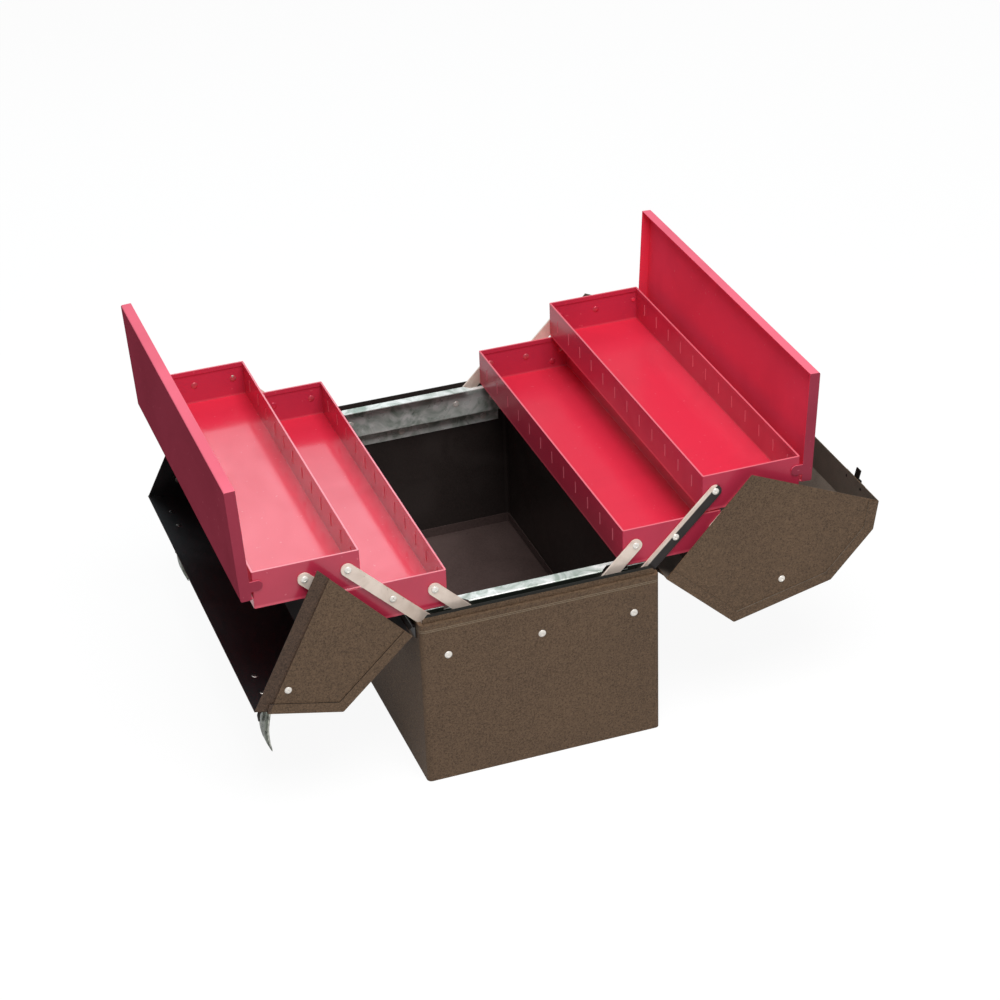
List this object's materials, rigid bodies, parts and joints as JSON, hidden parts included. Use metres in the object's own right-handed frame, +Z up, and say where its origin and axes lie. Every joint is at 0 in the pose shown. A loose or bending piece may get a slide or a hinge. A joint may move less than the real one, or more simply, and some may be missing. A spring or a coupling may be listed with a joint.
{
  "type": "cantilever tool box",
  "caption": "Steel cantilever tool box standing open: trays fan out on pivoted arms, hinged tray covers and roof lids swing outward, with hasp latches and a folding handle.",
  "frame": {"origin": "middle of the underside of the base", "axes": "+X across the box to the right, +Y along it to the back end, +Z up"},
  "size_m": [0.6814, 0.46, 0.3729],
  "materials": {
    "brown_paint": "wrinkle paint",
    "red_enamel": "semi-gloss enamel",
    "galvanised_steel": "spangled zinc",
    "nickel_steel": "dull nickel plate"
  },
  "bodies": {
    "base": {"base_shell": "brown_paint", "base_floor": "brown_paint", "end_channel_front": "galvanised_steel", "end_channel_back": "galvanised_steel", "base_wall_rivets": "nickel_steel", "base_pivot_rivets": "nickel_steel", "hinge_base_leaf_left": "nickel_steel", "hinge_base_leaf_right": "nickel_steel", "hinge_pins": "nickel_steel"},
    "lid_right": {"lid_shell_right": "brown_paint", "lid_end_right_front": "brown_paint", "lid_end_right_back": "brown_paint", "strap_rivets_right": "nickel_steel", "hinge_lid_leaf_right": "nickel_steel", "keepers": "nickel_steel", "keeper_rivets": "nickel_steel", "handle_brackets": "nickel_steel", "handle_rivets": "nickel_steel"},
    "long_arms_right": {"long_arm_right_front": "nickel_steel", "long_arm_right_back": "nickel_steel"},
    "short_arms_right": {"short_arm_right_front": "nickel_steel", "short_arm_right_back": "nickel_steel"},
    "upper_arms_right": {"upper_arm_right_front": "nickel_steel", "upper_arm_right_back": "nickel_steel"},
    "tray_lower_right": {"tray_lower_right": "red_enamel", "lower_tray_rivets_right": "nickel_steel"},
    "tray_upper_right": {"tray_upper_right": "red_enamel", "upper_tray_rivets_right": "nickel_steel"},
    "cover_right": {"cover_right": "red_enamel"},
    "straps_right": {"lid_strap_right_front": "nickel_steel", "lid_strap_right_back": "nickel_steel", "strap_pins_right": "nickel_steel"},
    "lid_left": {"lid_shell_left": "brown_paint", "lid_end_left_front": "brown_paint", "lid_end_left_back": "brown_paint", "strap_rivets_left": "nickel_steel", "hinge_lid_leaf_left": "nickel_steel", "latch_plates": "nickel_steel", "latch_pins": "nickel_steel", "latch_rivets": "nickel_steel"},
    "long_arms_left": {"long_arm_left_front": "nickel_steel", "long_arm_left_back": "nickel_steel"},
    "short_arms_left": {"short_arm_left_front": "nickel_steel", "short_arm_left_back": "nickel_steel"},
    "upper_arms_left": {"upper_arm_left_front": "nickel_steel", "upper_arm_left_back": "nickel_steel"},
    "tray_lower_left": {"tray_lower_left": "red_enamel", "lower_tray_rivets_left": "nickel_steel"},
    "tray_upper_left": {"tray_upper_left": "red_enamel", "upper_tray_rivets_left": "nickel_steel"},
    "cover_left": {"cover_left": "red_enamel"},
    "straps_left": {"lid_strap_left_front": "nickel_steel", "lid_strap_left_back": "nickel_steel", "strap_pins_left": "nickel_steel"},
    "hasp_front": {"hasp_front": "nickel_steel"},
    "hasp_back": {"hasp_back": "nickel_steel"},
    "handle": {"handle_bail": "nickel_steel"}
  },
  "joints": [
    {"name": "lid_hinge_right", "type": "hinge", "parent": "base", "child": "lid_right", "pos_m": [0.129, 0, 0.1815], "axis": [0, -1, 0], "range_deg": [0, 133]},
    {"name": "long_arm_pivot_right", "type": "hinge", "parent": "base", "child": "long_arms_right", "pos_m": [0.106, 0, 0.1762], "axis": [0, -1, 0], "range_deg": [0, 90.01]},
    {"name": "short_arm_pivot_right", "type": "hinge", "parent": "base", "child": "short_arms_right", "pos_m": [0.06287, 0, 0.1762], "axis": [0, -1, 0], "range_deg": [0, 90.01]},
    {"name": "lower_tray_pivot_right", "type": "hinge", "parent": "long_arms_right", "child": "tray_lower_right", "pos_m": [0.14913, 0, 0.21933], "axis": [0, -1, 0], "range_deg": [-90.01, 0]},
    {"name": "upper_tray_pivot_right", "type": "hinge", "parent": "long_arms_right", "child": "tray_upper_right", "pos_m": [0.19227, 0, 0.26247], "axis": [0, -1, 0], "range_deg": [-90.01, 0]},
    {"name": "upper_arm_pivot_right", "type": "hinge", "parent": "tray_lower_right", "child": "upper_arms_right", "pos_m": [0.19227, 0, 0.21933], "axis": [0, -1, 0], "range_deg": [0, 90.01]},
    {"name": "cover_hinge_right", "type": "hinge", "parent": "tray_upper_right", "child": "cover_right", "pos_m": [0.28153, 0, 0.26593], "axis": [0, -1, 0], "range_deg": [0, 93.01]},
    {"name": "strap_pivot_right", "type": "hinge", "parent": "lid_right", "child": "straps_right", "pos_m": [0.26311, 0, 0.14805], "axis": [0, -1, 0], "range_deg": [0, 11.61]},
    {"name": "lid_hinge_left", "type": "hinge", "parent": "base", "child": "lid_left", "pos_m": [-0.129, 0, 0.1815], "axis": [0, 1, 0], "range_deg": [0, 133]},
    {"name": "long_arm_pivot_left", "type": "hinge", "parent": "base", "child": "long_arms_left", "pos_m": [-0.106, 0, 0.1762], "axis": [0, 1, 0], "range_deg": [0, 90.01]},
    {"name": "short_arm_pivot_left", "type": "hinge", "parent": "base", "child": "short_arms_left", "pos_m": [-0.06287, 0, 0.1762], "axis": [0, 1, 0], "range_deg": [0, 90.01]},
    {"name": "lower_tray_pivot_left", "type": "hinge", "parent": "long_arms_left", "child": "tray_lower_left", "pos_m": [-0.14913, 0, 0.21933], "axis": [0, 1, 0], "range_deg": [-90.01, 0]},
    {"name": "upper_tray_pivot_left", "type": "hinge", "parent": "long_arms_left", "child": "tray_upper_left", "pos_m": [-0.19227, 0, 0.26247], "axis": [0, 1, 0], "range_deg": [-90.01, 0]},
    {"name": "upper_arm_pivot_left", "type": "hinge", "parent": "tray_lower_left", "child": "upper_arms_left", "pos_m": [-0.19227, 0, 0.21933], "axis": [0, 1, 0], "range_deg": [0, 90.01]},
    {"name": "cover_hinge_left", "type": "hinge", "parent": "tray_upper_left", "child": "cover_left", "pos_m": [-0.28153, 0, 0.26593], "axis": [0, 1, 0], "range_deg": [0, 93.01]},
    {"name": "strap_pivot_left", "type": "hinge", "parent": "lid_left", "child": "straps_left", "pos_m": [-0.26311, 0, 0.14805], "axis": [0, 1, 0], "range_deg": [0, 11.61]},
    {"name": "hasp_pivot_front", "type": "hinge", "parent": "lid_left", "child": "hasp_front", "pos_m": [-0.27687, -0.1745, 0.11626], "axis": [0, 1, 0], "range_deg": [-70, 103]},
    {"name": "hasp_pivot_back", "type": "hinge", "parent": "lid_left", "child": "hasp_back", "pos_m": [-0.27687, 0.1745, 0.11626], "axis": [0, 1, 0], "range_deg": [-70, 103]},
    {"name": "handle_pivot", "type": "hinge", "parent": "lid_right", "child": "handle", "pos_m": [0.34669, 0, 0.15488], "axis": [0, -1, 0], "range_deg": [-43, 137]}
  ],
  "couplings": [
    {"joint": "long_arm_pivot_right", "follows": "lid_hinge_right", "ratio": 0.67669},
    {"joint": "short_arm_pivot_right", "follows": "lid_hinge_right", "ratio": 0.67669},
    {"joint": "lower_tray_pivot_right", "follows": "lid_hinge_right", "ratio": -0.67669},
    {"joint": "upper_tray_pivot_right", "follows": "lid_hinge_right", "ratio": -0.67669},
    {"joint": "upper_arm_pivot_right", "follows": "lid_hinge_right", "ratio": 0.67669},
    {"joint": "cover_hinge_right", "follows": "lid_hinge_right", "ratio": 0.69925},
    {"joint": "strap_pivot_right", "follows": "lid_hinge_right", "ratio": 0.087105},
    {"joint": "long_arm_pivot_left", "follows": "lid_hinge_left", "ratio": 0.67669},
    {"joint": "short_arm_pivot_left", "follows": "lid_hinge_left", "ratio": 0.67669},
    {"joint": "lower_tray_pivot_left", "follows": "lid_hinge_left", "ratio": -0.67669},
    {"joint": "upper_tray_pivot_left", "follows": "lid_hinge_left", "ratio": -0.67669},
    {"joint": "upper_arm_pivot_left", "follows": "lid_hinge_left", "ratio": 0.67669},
    {"joint": "cover_hinge_left", "follows": "lid_hinge_left", "ratio": 0.69925},
    {"joint": "strap_pivot_left", "follows": "lid_hinge_left", "ratio": 0.087105}
  ]
}
